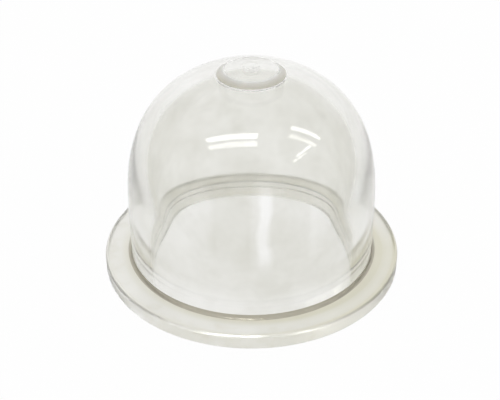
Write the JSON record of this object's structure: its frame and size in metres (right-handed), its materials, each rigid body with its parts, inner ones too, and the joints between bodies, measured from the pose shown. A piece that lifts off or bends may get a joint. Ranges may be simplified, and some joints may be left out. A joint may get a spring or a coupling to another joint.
{
  "type": "primer bulb",
  "caption": "Clear soft moulded bulb: a hollow dome open underneath, a flat clamping flange and a low gate pad on the crown, pressed by thumb to pump fuel into a small engine.",
  "frame": {"origin": "centre of the flange's flat underside, on the dome's axis", "axes": "+Z along the dome's axis, from the flange to the crown; X and Y are free, because the part is round"},
  "size_m": [0.022, 0.022, 0.016],
  "materials": {
    "clear_soft_plastic": "clear, faintly yellowed soft plastic, glossy on the dome and slightly hazy on the flange"
  },
  "bodies": {
    "root": {"primer_bulb": "clear_soft_plastic"}
  },
  "joints": []
}
